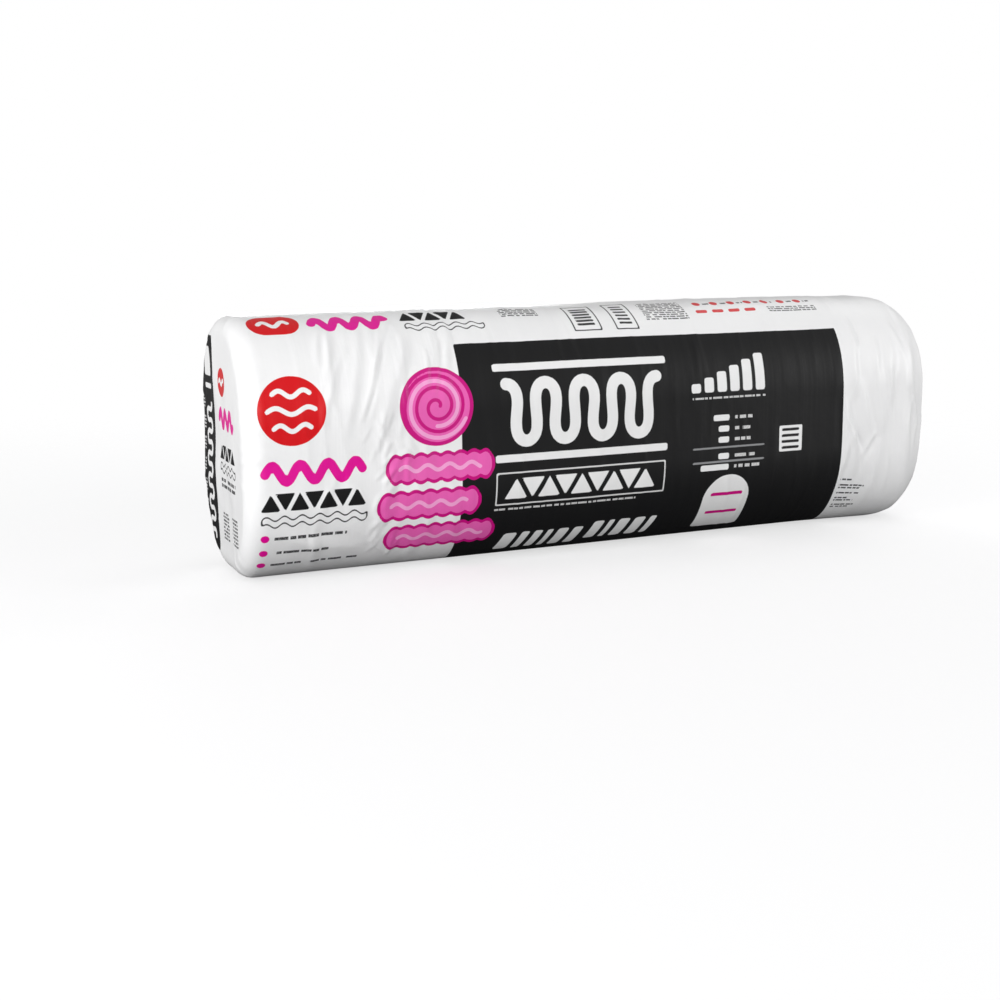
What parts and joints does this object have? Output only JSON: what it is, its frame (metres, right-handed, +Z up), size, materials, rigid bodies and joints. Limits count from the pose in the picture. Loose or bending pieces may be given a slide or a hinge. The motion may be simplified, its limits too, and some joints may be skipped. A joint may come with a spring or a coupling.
{
  "type": "bagged fiberglass batt bundle",
  "caption": "Tight film bag of compressed pink fiberglass batts for wall and attic insulation, standing on its long narrow side with one heat-sealed end.",
  "frame": {"origin": "on the floor, under the middle of the whole bag with its seal fin", "axes": "+X along the bag towards its sealed end, -Y out of its printed front, +Z up"},
  "size_m": [1.27, 0.29, 0.4],
  "materials": {
    "bag_film": "white polyethylene film, soft gloss, printed",
    "glass_wool": "pink fibrous glass wool"
  },
  "bodies": {
    "root": {"bag_film": "bag_film", "batts": "glass_wool"}
  },
  "joints": []
}
